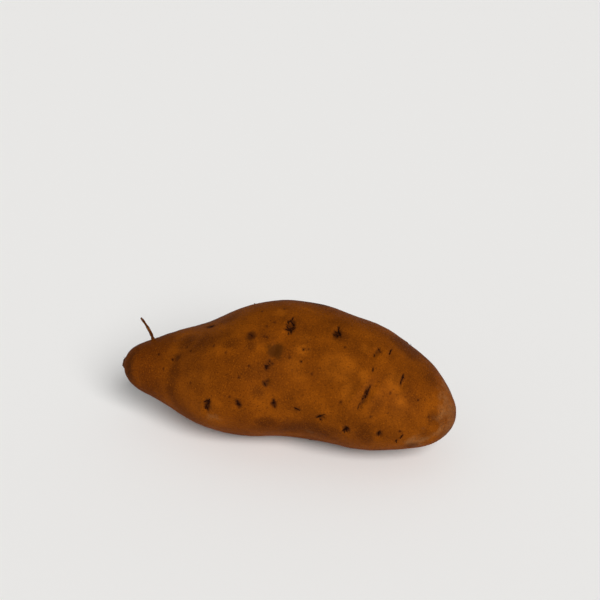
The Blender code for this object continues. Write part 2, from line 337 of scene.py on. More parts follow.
# Near-black corky scars where side roots died back. Each row is an eye's place, x and angle,
# and its strokes: from and to, in mm along the root and round it, then width and faintness.
FRONT_SCARS = (
    (-1, 110, (
        (0, -5, -0.3, -2.9, 0.7, 0), (-0.4, -2.5, 0.9, -0.8, 0.7, 0.3),
        (0.9, -0.7, 1.6, 0.1, 1, 0), (-2, -1.8, -1.4, -0.2, 0.8, 0.2),
        (-1.6, -1.5, -0.6, -2.6, 0.6, 0.4), (-2.5, 3.6, 0.3, 2.9, 0.9, 0),
        (0.5, 2.8, 0.9, 5, 0.8, 0.1), (-0.5, 4.7, -0.3, 6, 0.6, 0.5),
        (0.5, 2.8, 2.2, 2.2, 0.6, 0.5), (-2, 1.6, -0.6, 2.6, 1, 0.5),
        (-0.4, 1.8, 1.7, 1.3, 0.9, 0.5),
    )),
    (22, 107, (
        (-0.5, -4, 0.9, -0.1, 0.7, 0.1), (-1.1, -0.4, 0.3, 0, 0.9, 0),
        (-1.1, 2, 0.3, 2.2, 0.8, 0.2), (1, 2.1, 1.5, 2.8, 0.9, 0),
        (1.1, -0.5, 2.7, 2, 0.6, 0.2), (-0.4, 0.7, 1.1, 1.8, 0.8, 0.4),
    )),
    (-38, 180, (
        (-1.2, -1, 0.7, -1.8, 0.7, 0.2), (0.7, -1.6, 2.2, -1.3, 1.2, 0),
        (2.2, -2.8, 1.8, -1.6, 0.8, 0.5), (1.5, -0.9, -0.2, 0.8, 0.7, 0.1),
        (-0.6, 0.8, -1.3, 2.3, 0.7, 0.1), (-1.1, 2.3, -0.5, 3.5, 1.2, 0),
    )),
    (-20, 179, (
        (-0.6, -0.6, -0.3, 0.6, 1.6, 0.1), (-1.1, -2.2, -0.6, -0.9, 1, 0.6),
        (0, 0, 0.7, 0.3, 0.8, 0.4),
    )),
    (-3, 177, (
        (-0.4, -1.8, -0.3, -0.5, 0.9, 0.5), (-0.3, -0.6, -0.1, 0.9, 1.1, 0.1),
        (-1, -0.1, -0.5, 0.6, 0.8, 0.5), (0.2, 2.1, 0.5, 2.5, 0.8, 0),
    )),
    (-8, 149, ((-1.2, -0.8, 0.4, -0.8, 0.9, 0.1), (-0.6, -0.5, -0.2, 0.8, 1.1, 0))),
    (-8, 162, ((-0.6, -0.8, 0.3, 0.6, 1, 0.6), (0.4, -1.3, 1.6, -1.5, 0.8, 0.8))),
    (44, 110, (
        (-0.5, -1.8, 0, -1, 1, 0.3), (-1.2, 2.4, -0.8, 4.1, 0.7, 0.7),
        (0.3, -0.5, 1.2, -0.1, 0.8, 0.6),
    )),
    (49, 104, (
        (0.4, -1.6, 0.4, -0.2, 0.6, 0.3), (0.4, -0.2, 0.3, 1.7, 0.6, 0.3),
        (0.1, -1, 0.7, -2.4, 0.5, 0.6),
    )),
    (57, 127, (
        (0, -2.8, -0.1, -0.2, 0.7, 0.1), (0.1, -1.8, 1, -1.5, 0.6, 0.4),
        (-0.1, 0, -0.1, 1.6, 0.5, 0.6), (-0.1, 1.5, 0.1, 2.6, 0.8, 0.1),
    )),
    (42, 153, (
        (0.5, -4.7, 0.4, -3.1, 0.5, 0.4), (0.4, -3, 0.1, -1.2, 0.6, 0.2),
        (0.1, -1.1, 0, 0.5, 1, 0), (-0.2, 0.7, -0.4, 1.8, 0.6, 0.2),
        (-1.1, 2.2, -1.4, 2.9, 0.8, 0.1), (-0.4, -1.5, -1.2, -2, 0.5, 0.4),
        (-0.2, -0.4, -1.2, -0.6, 0.5, 0.3), (-0.2, 0.8, -1, 0.8, 0.5, 0.5),
        (-1.8, 4.8, -2.1, 6.4, 0.5, 0.6), (-2.1, 6.4, -2.1, 8, 0.6, 0.6),
    )),
    (8, 180, ((-1.1, -0.7, 0.7, -0.1, 0.7, 0.3), (0.7, -0.1, 1.9, 0.3, 0.5, 0.6))),
    (20, 183, (
        (-2.1, 1, -0.8, 0, 0.8, 0.2), (-0.8, 0, 0.5, -1.1, 1, 0),
        (-0.3, 1.7, 0.3, 1.9, 0.9, 0.3), (0.8, -1.3, 2.5, -2.5, 0.5, 0.6),
    )),
    (33, 190, (
        (0.3, -1.4, 1.3, -0.6, 1.2, 0), (-1.7, 1.5, -0.9, 0.5, 0.9, 0.1),
        (-0.9, 0.5, 0.3, -1.1, 0.5, 0.4), (-0.5, 0.3, -0.9, 2.3, 0.5, 0.5),
        (-0.1, 0.7, 0.3, 2.3, 0.5, 0.7),
    )),
    (49, 189, ((0.2, -1.1, -0.1, 0.5, 1.2, 0.1), (-0.1, 0.7, -0.1, 2, 0.6, 0.4))),
    (58, 193, ((1.9, -2.1, 1, -0.2, 0.7, 0.6), (-0.7, 1.6, -0.9, 3.1, 0.7, 0.6))),
    (43, 130, ((-0.1, -0.7, 0.2, 0.9, 0.8, 0.6),)),
    (-45, 96, ((-0.9, -0.7, 2, 0.6, 1.6, 0.4), (-2.7, -1.6, -0.9, -0.6, 1.2, 0.7))),
    (-19, 122, ((-0.3, -0.9, 0.9, 0.8, 1.2, 0.6), (-1.4, -1.5, -0.4, -0.6, 0.9, 0.8))),
    (-61, 135, ((-1.1, -0.3, -0.3, 0.4, 0.9, 0.5),)),
)
# Small brown freckles: x, angle
FRECKLES = (
    (-9.3, 110), (-12.5, 114), (-7, 94), (-12.6, 123), (-11, 124), (-25, 172),
    (-5.6, 146), (-7.4, 144), (44.8, 172), (58.7, 183), (52.7, 145), (10.3, 129),
    (7.8, 130.5), (-17, 148), (-21.1, 157), (-37.8, 125), (-30.2, 134), (-51.3, 125),
    (-54.6, 119), (14.1, 149), (7.8, 141), (1.9, 139), (27.7, 119), (65.6, 142),
    (-17.7, 97), (-71, 128), (-66, 150), (30, 165), (-48, 160), (71, 160),
)
SCAR_SEED = 24
FRECKLE_WIDTHS = (0.9, 1.2)
FRECKLE_FAINTNESS = (0.5, 0.85)
# A slit is half this share of its eye's length to each side, and has strokes that go off from it
SLIT_SHARES = (0.15, 0.32)
SLIT_WIDTHS = (0.7, 1.4)
SLIT_FAINTNESS = (0.0, 0.1, 0.3)
MOST_STROKES = 3
OFF_SLIT = 0.8
STROKE_LENGTHS = (1.0, 2.8)
STROKE_WIDTHS = (0.5, 1.0)
STROKE_FAINTNESS = (0.1, 0.6)
SCAR_GROUPS = 3
# How far a scar reaches off the smooth skin, from how many half widths out a point is outside
# a stroke, and a distance past them all
SCAR_DEEP = 2.0
OUTSIDE = 2.0
FAR_OFF = 50.0

# Soft patches: darkened round the scars, bruised, rubbed, paler and darker. Over the blunt end
# the rubbed patches are painted sheen, and along the front's upper and lower edges and on top
# near the blunt end the darker ones are painted shade. Each is x, angle, length round the root,
# width along it, turn and strength.
PATCH_REACH = 12.0
SMUDGES = (
    (-0.8, 113.2, 5, 5, 0, 0.72), (-0.6, 107.5, 5, 3.5, 0, 0.65),
    (22.4, 108.5, 7, 4.5, 0, 0.7), (-37.6, 181, 7, 4.5, 10, 0.75),
    (-20.7, 178, 5, 3.6, -15, 0.7), (-3.2, 177.5, 5.5, 3.4, 0, 0.75),
    (-8.2, 149, 3.2, 3.6, 0, 0.55), (43.8, 110.5, 6, 3.5, 0, 0.45),
    (49.3, 104, 5, 3.2, 0, 0.4), (57.1, 127, 6.5, 3.2, 0, 0.45),
    (41.5, 153.5, 13, 3.2, 6, 0.6), (8.3, 180, 2.6, 5, 0, 0.5),
    (19.8, 183, 4, 5.5, 0, 0.6), (33, 190, 6, 4.2, 0, 0.6),
    (49, 189.5, 5, 3.6, 0, 0.6), (-44.5, 96.2, 4, 6, 0, 0.5),
    (-19, 122, 5, 6, -30, 0.8), (-59, 132, 7, 6, 0, 0.45),
    (-88, 160, 26, 9, 0, 0.5),
)
BRUISES = (
    (-5.6, 134.5, 7, 8.5, -35, 1.25), (-3.8, 139, 4.5, 4, -50, 0.9),
    (-8.6, 132.5, 5, 6, 20, 0.7), (-7.9, 161.7, 3.8, 3.4, -30, 1.1),
    (-6.9, 159.2, 3, 3, 60, 0.7), (-7, 146, 9, 9, 0, 0.4),
    (8, 66, 14, 12, 0, 0.8), (-30, 300, 16, 12, 20, 0.8),
)
# The first two are painted sheen over the blunt end and just below it; the rest are rubbed cork.
RUBBED_AND_SHEEN = (
    (82, 172, 64, 30, 0, 1.15), (66, 200, 18, 16, 20, 0.9),
    (-36, 196, 9, 20, -20, 0.6), (12, 205, 9, 18, 0, 0.6),
    (46, 40, 12, 26, 10, 0.65), (-24, 10, 14, 30, 30, 0.65),
    (20, 255, 18, 34, 0, 0.6),
)
PALER = (
    (27, 138, 17, 21, 0, 1.2), (39, 139, 9, 8, 0, 1.0),
    (55, 133, 13, 13, 0, 1.2), (58, 151, 10, 9, 0, 0.9),
    (-44, 154, 11, 20, 0, 0.9), (7, 131, 9, 12, 0, 0.9),
    (4, 144, 10, 14, 0, 0.8), (37, 113, 8, 8, 0, 0.7),
    (-8, 100, 9, 9, 0, 0.9), (6, 119, 9, 11, 0, 0.7),
    (57, 170, 14, 13, 0, 1.1), (8, 152, 11, 13, 0, 0.6),
    (33, 155, 13, 11, 0, 0.9), (-81, 182, 12, 9, 0, 0.7),
    (-50, 40, 20, 18, 20, 0.8), (10, 20, 24, 18, 0, 0.8),
    (50, 340, 18, 16, 0, 0.7), (-20, 280, 22, 20, 0, 0.7),
)
# Along the front's upper and lower edges and on top near the blunt end these are painted shade; the rest
# darken the skin in patches.
DARKER_AND_SHADE = (
    (-56, 112, 12, 16, 0, 1.1), (-59, 158, 34, 12, 0, 1.0),
    (-29, 126, 10, 13, 0, 1.0), (-12, 124, 12, 14, 0, 0.8),
    (-40, 117, 14, 40, 0, 0.9), (-18, 130, 8, 8, 0, 1.0),
    (-11, 169, 9, 10, 0, 1.0), (12, 202, 18, 66, 0, 0.9),
    (-8, 198, 12, 14, 0, 1.2), (26, 194, 10, 16, 0, 0.8),
    (42, 194, 18, 12, 0, 1.2), (70, 188, 12, 14, 0, 0.8),
    (70, 100, 20, 12, 0, 0.7), (55, 80, 20, 24, 0, 1.4),
    (64, 69, 14, 10, 0, 0.7), (25, 110, 9, 12, 0, 1.1),
    (47, 160, 14, 8, 0, 0.8), (73, 160, 14, 10, 0, 0.9),
    (64, 213, 10, 10, 0, 1.0), (-30, 62, 16, 14, 0, 0.8),
    (30, 350, 14, 16, 0, 0.8), (-60, 300, 16, 16, 0, 0.8),
    (-93.9, 0, 20, 20, 0, 0.6), (73, -8, 18, 18, 0, 1.0),
)


def all_scars():
    """The scars of the front, a dot for each freckle, and in each eye that faces away a slit
    across the root, with up to three short strokes that go off from it at random."""
    draw = random.Random(SCAR_SEED)
    yield from FRONT_SCARS
    for x, degrees in FRECKLES:
        look = draw.uniform(*FRECKLE_WIDTHS), draw.uniform(*FRECKLE_FAINTNESS)
        yield x, degrees, ((0.0, 0.0, 0.0, 0.0, *look),)
    for x, degrees, length, lean in hidden_eyes():
        half = length * draw.uniform(*SLIT_SHARES)
        off = half * math.sin(math.radians(lean))
        look = draw.uniform(*SLIT_WIDTHS), draw.choice(SLIT_FAINTNESS)
        strokes = [(off, -half, -off, half, *look)]
        for _ in range(draw.randrange(MOST_STROKES + 1)):
            u, v = draw.uniform(-OFF_SLIT, OFF_SLIT), draw.uniform(-half, half)
            heading, reach = draw.uniform(0, math.tau), draw.uniform(*STROKE_LENGTHS)
            to = u + reach * math.cos(heading), v + reach * math.sin(heading)
            look = draw.uniform(*STROKE_WIDTHS), draw.uniform(*STROKE_FAINTNESS)
            strokes.append((u, v, *to, *look))
        yield x, degrees, tuple(strokes)


def scar_fields(points, scars):
    """Each point's place in its nearest stroke: across it as a share of its half width, past
    the start of its pointed end as a share of that end, and its faintness, which grows
    outside it. There is one such field for every third stroke, so that strokes may cross."""
    places = [np.full(points.shape, FAR_OFF) for _ in range(SCAR_GROUPS)]
    nearest = [np.full(points.shape[:-1], FAR_OFF) for _ in range(SCAR_GROUPS)]
    for x, degrees, strokes in scars:
        u, v, off = from_spot(points, x, degrees, 0.0)
        for number, (u1, v1, u2, v2, width, faint) in enumerate(strokes):
            group = number % SCAR_GROUPS
            length = max(math.hypot(u2 - u1, v2 - v1) + 0.5 * width, width)
            heading = math.atan2(v2 - v1, u2 - u1)
            c, s = math.cos(heading), math.sin(heading)
            along = (u - (u1 + u2) / 2) * c + (v - (v1 + v2) / 2) * s
            across = 2 * ((v - (v1 + v2) / 2) * c - (u - (u1 + u2) / 2) * s) / width
            tip = min(width, length / 2)
            past = np.sign(along) * np.maximum(np.abs(along) - length / 2 + tip, 0) / tip
            reach = np.sqrt(across**2 + past**2 + (off / SCAR_DEEP) ** 2 + faint**2)
            closer = reach < nearest[group]
            here = np.stack((across, past, faint + np.maximum(reach - OUTSIDE, 0)), axis=-1)
            places[group][closer] = here[closer]
            nearest[group] = np.minimum(nearest[group], reach)
    return places, nearest


def patch_share(points, patches):
    """The strongest soft patch at each point, strength * exp(-(across)^2 - (along)^2)."""
    total = np.zeros(points.shape[:-1])
    for x, degrees, length, width, turn, strength in patches:
        u, v, off = from_spot(points, x, degrees, turn)
        bell = np.exp(-(2 * u / width) ** 2 - (2 * v / length) ** 2 - (off / PATCH_REACH) ** 2)
        total = np.maximum(total, strength * bell)
    return total


def tube_faces(rings, sides):
    """Quads between rings of points, and a fan of triangles to a point at each end."""
    ring, side = np.meshgrid(np.arange(rings - 1), np.arange(sides), indexing="ij")
    a = ring * sides + side
    b = ring * sides + (side + 1) % sides
    quads = np.stack((a, a + sides, b + sides, b), axis=-1).reshape(-1, 4)
    side = np.arange(sides)
    nxt = (side + 1) % sides
    first, last, base = rings * sides, rings * sides + 1, (rings - 1) * sides
    start = np.stack((np.full(sides, first), side, nxt), axis=-1)
    end = np.stack((np.full(sides, last), base + nxt, base + side), axis=-1)
    return quads, np.vstack((start, end))


scene = bpy.context.scene


def new_piece(name, points, faces, fields=None):
    """A smooth mesh object at the origin from points in mm, with numbers or places kept at
    its points. A place is three numbers, and is kept as a vector."""
    mesh = bpy.data.meshes.new(name)
    corners = [face for group in faces for face in group.tolist()]
    mesh.from_pydata((np.asarray(points) * MM).tolist(), [], corners)
    for title, values in (fields or {}).items():
        values = np.asarray(values, np.float32)
        kind, slot = ("FLOAT_VECTOR", "vector") if values.ndim == 2 else ("FLOAT", "value")
        mesh.attributes.new(title, kind, "POINT").data.foreach_set(slot, values.ravel())
    mesh.shade_smooth()
    mesh.update()
    piece = bpy.data.objects.new(name, mesh)
    scene.collection.objects.link(piece)
    return piece


def grown_piece(name, points, faces, fields, material):
    """A piece of the root: it moves with it, and stands for a part of its solid."""
    piece = new_piece(name, points, faces, fields)
    piece.data.materials.append(material)
    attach(piece, "root")
    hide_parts("sweet_potato")


RINGS = 300
SPOKES = 328
# How deep a scar is sunk, and where its rim starts and ends, in half widths of its stroke
SCAR_SINK = 0.25
SCAR_RIM = (0.4, 1.5)


def root_mesh():
    """The skin on a grid of rings and spokes, moved out by its height, with its scars sunk in
    and its scars and soft patches kept as fields of its points."""
    turn = (np.arange(1, RINGS) * math.pi / RINGS)[:, None]
    angle = (np.arange(SPOKES) * 2 * math.pi / SPOKES)[None, :]
    points, _, _, out = skin_frame(turn, angle)
    height = skin_height(points, angle)
    fields = {
        "smudge": patch_share(points, SMUDGES),
        "bruise": patch_share(points, BRUISES),
        "rubbed": patch_share(points, RUBBED_AND_SHEEN),
        "paler": patch_share(points, PALER),
        "darker": patch_share(points, DARKER_AND_SHADE),
        "ends": end_share(points),
    }
    for group, (place, reach) in enumerate(zip(*scar_fields(points, all_scars()))):
        fields[f"scar_{group}"] = place
        height = height - SCAR_SINK * (1 - fade_in(reach, *SCAR_RIM))
    grid = points + out * height[..., None]
    grid[..., 2] = np.maximum(grid[..., 2], 0.0)
    ends = skin(np.array([0.0, math.pi]), np.array([0.0, 0.0]))
    for title, values in fields.items():
        rows = values.reshape(points[..., 0].size, -1)
        fields[title] = np.squeeze(np.vstack((rows, rows[:1], rows[-1:])))
    return np.vstack((grid.reshape(-1, 3), ends)), tube_faces(RINGS - 1, SPOKES), fields


def colour(hex_code):
    """An sRGB hex colour as linear red, green, blue and alpha."""
    parts = [int(hex_code[i:i + 2], 16) / 255 for i in (1, 3, 5)]
    return (*(c / 12.92 if c <= 0.04045 else ((c + 0.055) / 1.055) ** 2.4 for c in parts), 1.0)


def add_node(material, kind, values=None, links=None, **settings):
    """A node with its settings, its inputs' values and the outputs that feed it."""
    node = material.node_tree.nodes.new(kind)
    for name, value in settings.items():
        setattr(node, name, value)
    for socket, value in (values or {}).items():
        node.inputs[socket].default_value = value
    for socket, source in (links or {}).items():
        material.node_tree.links.new(source, node.inputs[socket])
    return node


def per_mm(size):
    """The texture scale at which a pattern's cells are this many millimetres across."""
    return 1 / (size * MM)


def look_over(material, place, patterns, fields):
    """What the surface shows, from 0 to 1: a soft cloudy pattern for each row of name, cell
    along and across the piece in mm, octaves and their roughness, and the piece's fields."""
    looks = {}
    for name, along, across, octaves, harsh in patterns:
        sized = add_node(
            material, "ShaderNodeMapping",
            {"Scale": (per_mm(along), per_mm(across), per_mm(across))}, {"Vector": place},
        )
        cloudy = add_node(
            material, "ShaderNodeTexNoise",
            {"Scale": 1.0, "Detail": octaves, "Roughness": harsh}, {"Vector": sized.outputs["Vector"]},
        )
        looks[name] = cloudy.outputs["Fac"]
    for name in fields:
        looks[name] = add_node(material, "ShaderNodeAttribute", attribute_name=name).outputs["Fac"]
    return looks


# The Mix node's sockets for colours, by number, because it has several of each name
SHARE, UNDER, OVER, MIXED = 0, 6, 7, 2


def finish(material, looks, base, layers, relief, gloss, shine):
    """Colours, relief and gloss from the looks. A layer of colour covers the ones before it
    where its look goes from low to high: look, low, high, most of it, colour. Relief is a sum
    of looks * mm, and roughness is a first value and a sum of looks * share."""
    links = material.node_tree.links
    shader = material.node_tree.nodes["Principled BSDF"]
    tone = None
    for look, low, high, most, shade in layers:
        share = add_node(
            material, "ShaderNodeMapRange", {"From Min": low, "From Max": high, "To Max": most},
            {"Value": looks[look]}, interpolation_type="SMOOTHSTEP",
        ).outputs["Result"]
        tone = add_node(
            material, "ShaderNodeMix", {UNDER: colour(base), OVER: colour(shade)},
            {SHARE: share, **({UNDER: tone} if tone else {})}, data_type="RGBA",
        ).outputs[MIXED]
    sums = []
    for total, rows in ((0.0, relief), (gloss[0], gloss[1:])):
        for look, amount in rows:
            before = {2: total} if isinstance(total, float) else {}
            after = {} if before else {2: total}
            total = add_node(
                material, "ShaderNodeMath", {1: amount, **before}, {0: looks[look], **after},
                operation="MULTIPLY_ADD",
            ).outputs[0]
        sums.append(total)
    bump = add_node(material, "ShaderNodeBump", {"Strength": 1.0, "Distance": MM}, {"Height": sums[0]})
    links.new(tone, shader.inputs["Base Color"])
    links.new(bump.outputs["Normal"], shader.inputs["Normal"])
    links.new(sums[1], shader.inputs["Roughness"])
    shader.inputs["Specular IOR Level"].default_value = shine


# Cured periderm, the cork skin of a washed and dried root. It is nearly matt and orange-brown,
# with faint lines round the root, paler and darker clouds, olive bruises, tan places where the
# outer cork is rubbed off, and near-black scars. Over the blunt end the tan is painted sheen,
# and darker patches along the front's upper and lower edges are painted shade. Its pale and dark
# grain and its pores are drawn coarser than life, so that they show.
MATT = 0.01
cork_skin = bpy.data.materials.new("cured_root_skin")
cork_skin.use_nodes = True
place = add_node(cork_skin, "ShaderNodeTexCoord").outputs["Object"]
looks = look_over(cork_skin, place, (
    ("broad", 55.0, 40.0, 2.0, 0.5),
    ("clouds", 17.0, 13.0, 3.0, 0.42),
    ("blots", 7.0, 5.5, 3.0, 0.50),
    ("rings", 1.6, 10.0, 3.0, 0.6),
    ("streaks", 22.0, 1.7, 3.0, 0.6),
    ("grain", 0.75, 0.75, 4.0, 0.75),
    ("breaks", 1.6, 1.6, 2.0, 0.6),
), ("smudge", "bruise", "rubbed", "paler", "darker", "ends"))

# Pores: the points nearest to random seeds, so that some are bigger than others
PORE_GAP = 2.9
looks["pores"] = add_node(
    cork_skin, "ShaderNodeTexVoronoi", {"Scale": per_mm(PORE_GAP)}, {"Vector": place},
).outputs["Distance"]

# How far a point is from the nearest scar, as a share of the scar's half width. A fine noise
# shifts each point first, so that the strokes' edges are ragged.
RAGGED = 1.8
RAGGED_CELL = 1.1
SCAR_FROM = 1.35
SCAR_FULL = 0.35
shift = add_node(
    cork_skin, "ShaderNodeTexNoise", {"Scale": per_mm(RAGGED_CELL), "Detail": 3.0, "Roughness": 0.65},
    {"Vector": place},
).outputs["Color"]
shift = add_node(
    cork_skin, "ShaderNodeVectorMath", {1: (RAGGED, RAGGED, 0.0), 2: (-RAGGED / 2, -RAGGED / 2, 0.0)},
    {0: shift}, operation="MULTIPLY_ADD",
).outputs["Vector"]
for group in range(SCAR_GROUPS):
    stroke = add_node(cork_skin, "ShaderNodeAttribute", attribute_name=f"scar_{group}").outputs["Vector"]
    stroke = add_node(
        cork_skin, "ShaderNodeVectorMath", links={0: stroke, 1: shift}, operation="ADD",
    ).outputs["Vector"]
    reach = add_node(
        cork_skin, "ShaderNodeVectorMath", links={0: stroke}, operation="LENGTH",
    ).outputs["Value"]
    if group:
        reach = add_node(
            cork_skin, "ShaderNodeMath", links={0: reach, 1: looks["reach"]}, operation="MINIMUM",
        ).outputs[0]
    looks["reach"] = reach
looks["scar"] = add_node(
    cork_skin, "ShaderNodeMapRange", {"From Min": SCAR_FROM, "From Max": SCAR_FULL}, {"Value": reach},
    interpolation_type="SMOOTHSTEP",
).outputs["Result"]

# A soft patch's edge breaks up: it is the patch's own strength plus a share of a pattern
for name, source, broken in (
    ("smudge", "breaks", 0.6),
    ("bruise", "breaks", 0.6),
    ("rubbed", "blots", 1.8),
    ("paler", "blots", 0.6),
    ("darker", "blots", 0.6),
    ("ends", "streaks", 0.6),
):
    looks[name + " edge"] = add_node(
        cork_skin, "ShaderNodeMath", {1: broken}, {0: looks[source], 2: looks[name]},
        operation="MULTIPLY_ADD",
    ).outputs[0]

finish(
    cork_skin, looks, "#6c3505",
    (
        ("broad", 0.35, 0.65, 0.7, "#7c4008"),
        ("paler edge", 0.50, 1.35, 0.75, "#96500c"),
        # Tan rubbed cork, and painted sheen over the blunt end
        ("rubbed edge", 1.30, 1.95, 0.80, "#8e6036"),
        ("clouds", 0.44, 0.66, 0.65, "#582a05"),
        ("clouds", 0.46, 0.30, 0.55, "#894708"),
        ("blots", 0.50, 0.70, 0.14, "#552705"),
        ("rings", 0.52, 0.72, 0.18, "#522605"),
        ("ends edge", 0.45, 1.25, 0.60, "#562605"),
        # Darker patches of skin, and painted shade along the front's upper and lower edges
        ("darker edge", 0.50, 1.40, 0.75, "#451f05"),
        ("grain", 0.47, 0.27, 0.65, "#9c530b"),
        ("bruise edge", 0.45, 1.15, 0.88, "#432206"),
        ("grain", 0.52, 0.70, 0.82, "#401c04"),
        ("smudge edge", 0.40, 0.95, 0.88, "#381a06"),
        ("pores", 0.15, 0.08, 0.40, "#35180a"),
        ("reach", 2.8, 1.0, 0.50, "#3d1a06"),
        ("scar", 0.0, 1.0, 0.95, "#1b0904"),
    ),
    (("grain", 0.11), ("rings", 0.08), ("streaks", 0.05), ("breaks", 0.05), ("scar", -0.12)),
    (0.40, ("grain", 0.30), ("rubbed", -0.06), ("scar", 0.30)),
    MATT,
)

grown_piece("root_skin", *root_mesh(), cork_skin)

# The broken tail at the narrow end, where the root went on as a thin string. It is brown bark
# round a tough woody core. It was torn off short, so its rim is ragged and fibres stand out.
TAIL_THICK = 7.0
TAIL_AIM = (-1.0, -0.02, -0.05)
# height above the skin, share of half the thickness: down the side, over the rim and in
TAIL_PROFILE = (
    (-4.0, 1.10), (-2.2, 1.80), (-1.1, 1.60), (-0.3, 1.25), (0.6, 0.95),
    (1.45, 0.72), (1.5, 0.56), (1.0, 0.38), (0.8, 0.22), (1.1, 0.05),
)
STUB_RINGS = 64
STUB_SIDES = 96
STUB_LOBE = 1.5
STUB_TOOTH = 1.6
STUB_GRAIN = 0.5


def axes_of(aim):
    """Three unit directions: along an aim, and two across it."""
    axis = unit(np.array(aim))
    side = unit(np.cross(axis, (0, 0, 1)))
    return axis, side, np.cross(axis, side)


def stub_mesh(start, aim, thick, profile, ridge, torn, seed):
    """A stub turned round its aim, from a smooth profile of heights and shares of half its
    thickness. Ridges along it widen it by ridge, and its rim is torn up and down by torn mm."""
    axis, side, other = axes_of(aim)
    knots = np.arange(len(profile))
    rim = knots[-1] / 2
    step = np.linspace(0, knots[-1], STUB_RINGS)
    reach, share = (smooth_curve(knots, np.array(profile)[:, k], step)[:, None] for k in (0, 1))
    turn = np.arange(STUB_SIDES) * 2 * math.pi / STUB_SIDES
    outward = np.cos(turn)[:, None] * side + np.sin(turn)[:, None] * other
    flat = share[..., None] * outward * thick / 2
    lobes = rough(outward * thick / 2, STUB_LOBE, seed)
    fine = rough(flat + axis * reach[..., None] * 0.3, STUB_GRAIN, seed + 1)
    share = share * (1 + ridge * lobes + 0.4 * ridge * fine)
    broken = fade_in(step, rim - 1, rim + 1)[:, None]
    reach = reach + torn * broken * (0.7 * rough(flat, STUB_TOOTH, seed + 2) + 0.5 * fine)
    points = start + axis * reach[..., None] + outward * (share * thick / 2)[..., None]
    ends = start + axis * np.array((reach[0].mean(), reach[-1].mean()))[:, None]
    bark = np.broadcast_to(1 - broken, share.shape)
    joint = bark * (1 - fade_in(reach, -0.2, 0.5 * max(tall for tall, _ in profile)))
    round_it = flat @ np.stack((side, other), axis=1)
    grown = np.concatenate((reach[..., None] + 0 * flat[..., :1], round_it), axis=-1)
    fields = {
        "bark": np.append(bark.ravel(), (1.0, 0.0)),
        "joint": np.append(joint.ravel(), (1.0, 0.0)),
        "grown": np.vstack((grown.reshape(-1, 3), grown[0].mean(0), grown[-1].mean(0))) * MM,
    }
    return np.vstack((points.reshape(-1, 3), ends)), tube_faces(STUB_RINGS, STUB_SIDES), fields


def grown_finish(name, patterns, fields, *rest):
    """The finish of a stub or a thread, whose patterns run along it the way it grew. The rest
    is what finish takes after the looks: base, layers, relief, gloss and shine."""
    material = bpy.data.materials.new(name)
    material.use_nodes = True
    grown = add_node(material, "ShaderNodeAttribute", attribute_name="grown").outputs["Vector"]
    finish(material, look_over(material, grown, patterns, fields), *rest)
    return material


# Root bark and torn wood: dark red-brown cork in dry ridges that run along it, over browned
# wood where it was torn. It is matt all over, and at its joint it has the skin's own colour.
root_bark = grown_finish(
    "dried_root_bark",
    (
        ("ridges", 5.0, 0.7, 3.0, 0.6),
        ("flakes", 1.6, 1.2, 3.0, 0.6),
        ("grain", 0.5, 0.4, 3.0, 0.65),
    ),
    ("bark", "joint"),
    "#74451f",
    (
        ("grain", 0.50, 0.68, 0.70, "#2b1a0a"),
        ("bark", 0.35, 0.75, 1.00, "#4a2307"),
        ("ridges", 0.50, 0.68, 0.75, "#241003"),
        ("joint", 0.0, 1.0, 0.92, "#512306"),
        ("flakes", 0.52, 0.72, 0.60, "#7d4a1c"),
        ("grain", 0.52, 0.70, 0.55, "#331605"),
    ),
    (("ridges", 0.35), ("flakes", 0.20), ("grain", 0.10)),
    (0.62, ("flakes", 0.30)),
    MATT,
)

tail_foot = skin(np.float64(0.0), np.float64(0.0))
tail = stub_mesh(tail_foot, TAIL_AIM, TAIL_THICK, TAIL_PROFILE, ridge=0.10, torn=0.35, seed=31)
grown_piece("root_tail", *tail, root_bark)

# The stem stub behind the blunt end, where the root hung from its plant. It is a ring of corky
# bark round wood and a pith that shrank in, snapped off when the root was lifted.
STEM_LONG = 3.5
STEM_LEAN = 0.15
STEM_PROFILE = (
    (-4.5, 1.10), (-2.6, 1.90), (-1.2, 1.65), (-0.1, 1.32), (1.4, 1.00), (2.8, 0.82),
    (STEM_LONG, 0.70), (STEM_LONG, 0.56), (3.0, 0.38), (2.3, 0.22), (1.9, 0.05),
)
stem_foot, stem_along, _, stem_out = frame_at(STEM_X, STEM_ANGLE)
stem_aim = stem_out + STEM_LEAN * stem_along
stem = stub_mesh(stem_foot, stem_aim, STEM_THICK, STEM_PROFILE, ridge=0.09, torn=0.45, seed=41)
grown_piece("stem_stub", *stem, root_bark)

# Dry side roots: fine roots that broke out through the skin, and dried to brown wiry threads
# when the root was cured. They snapped off 3 to 14 mm out.
SIDE_ROOT_FULL = 1.05
SIDE_ROOT_SEED = 50
# A thread wavers by a share of its length, in waves this long, and has knots this far apart
WAVER = 0.05
WAVE = 3.0
KNOT = 1.1
# Each thread reads the noise this much further on, so that no two are alike
FURTHER_ON = 7.0
THREAD_FOOT = 1.2
THREAD_TIP = 0.4


def thread_paths(starts, aims, bends, lengths, sunk, rings, seed):
    """Paths of thin roots, many at once. Each goes along its aim from below the skin, turns
    aside by its bend as the 1.5th power of its share, and wavers a little."""
    starts, aims, bends = (np.asarray(rows, float)[:, None, :] for rows in (starts, aims, bends))
    lengths = np.asarray(lengths, float)[:, None, None]
    reach = np.linspace(0, 1, rings)[None, :, None] * (lengths + sunk) - sunk
    gone = np.clip(reach / lengths, 0, 1)
    path = starts + aims * reach + bends * lengths * gone**1.5
    aside = unit(np.cross(aims, bends))
    number = np.arange(len(starts))[:, None]
    places = np.stack(np.broadcast_arrays(reach[..., 0], FURTHER_ON * number, 0.0), axis=-1)
    waver = rough(places, (WAVE, 1.0, 1.0), seed)[..., None]
    return path + aside * WAVER * lengths * gone * waver, aside


